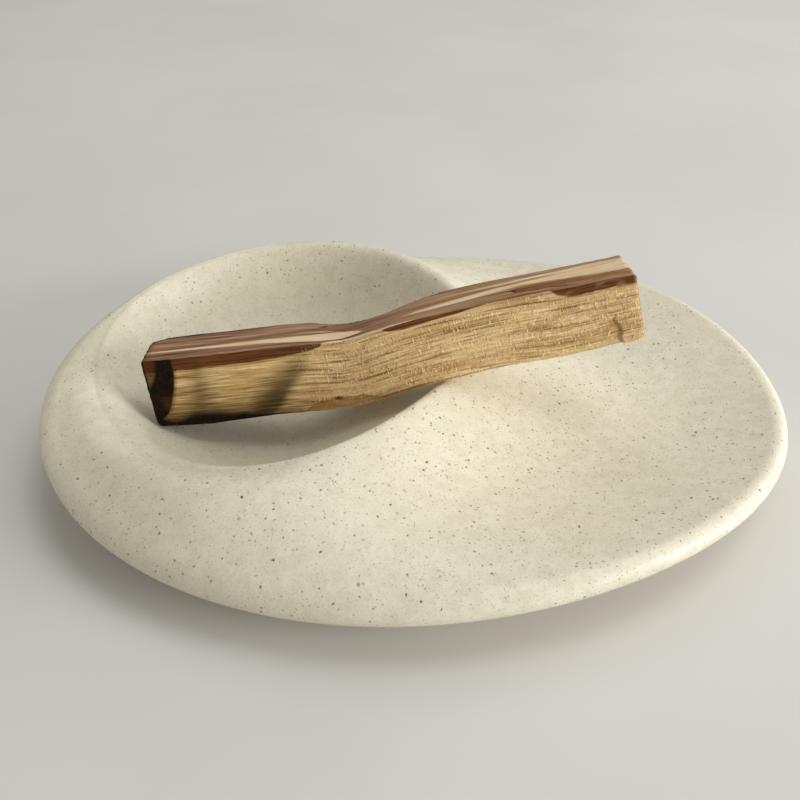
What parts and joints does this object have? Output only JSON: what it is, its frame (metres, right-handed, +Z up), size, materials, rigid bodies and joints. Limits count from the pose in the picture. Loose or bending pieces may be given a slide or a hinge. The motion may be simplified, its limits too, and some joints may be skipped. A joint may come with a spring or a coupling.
{
  "type": "palo santo tray",
  "caption": "Oval speckled stoneware dish with a sunken round bowl and a low wing, holding a loose split-wood incense stick that rests in the bowl and over its crest.",
  "frame": {"origin": "centre of the tray's oval outline, on the table plane under the pads", "axes": "+X along the long axis towards the wing, +Y towards the back where the bowl's crest is highest, +Z up"},
  "size_m": [0.155, 0.122, 0.0465],
  "materials": {
    "stoneware": "satin-matt ivory glaze with fine grey-brown iron specks",
    "palo_santo": "raw split wood, one end charred",
    "pad_rubber": "matt grey"
  },
  "bodies": {
    "tray": {"tray_body": "stoneware", "pad_back": "pad_rubber", "pad_front_left": "pad_rubber", "pad_front_right": "pad_rubber"},
    "stick": {"palo_santo_stick": "palo_santo"}
  },
  "joints": [
    {"name": "stick_lift", "type": "slide", "parent": "tray", "child": "stick", "axis": [0, 0, 1], "range_m": [0, 0.08]}
  ]
}
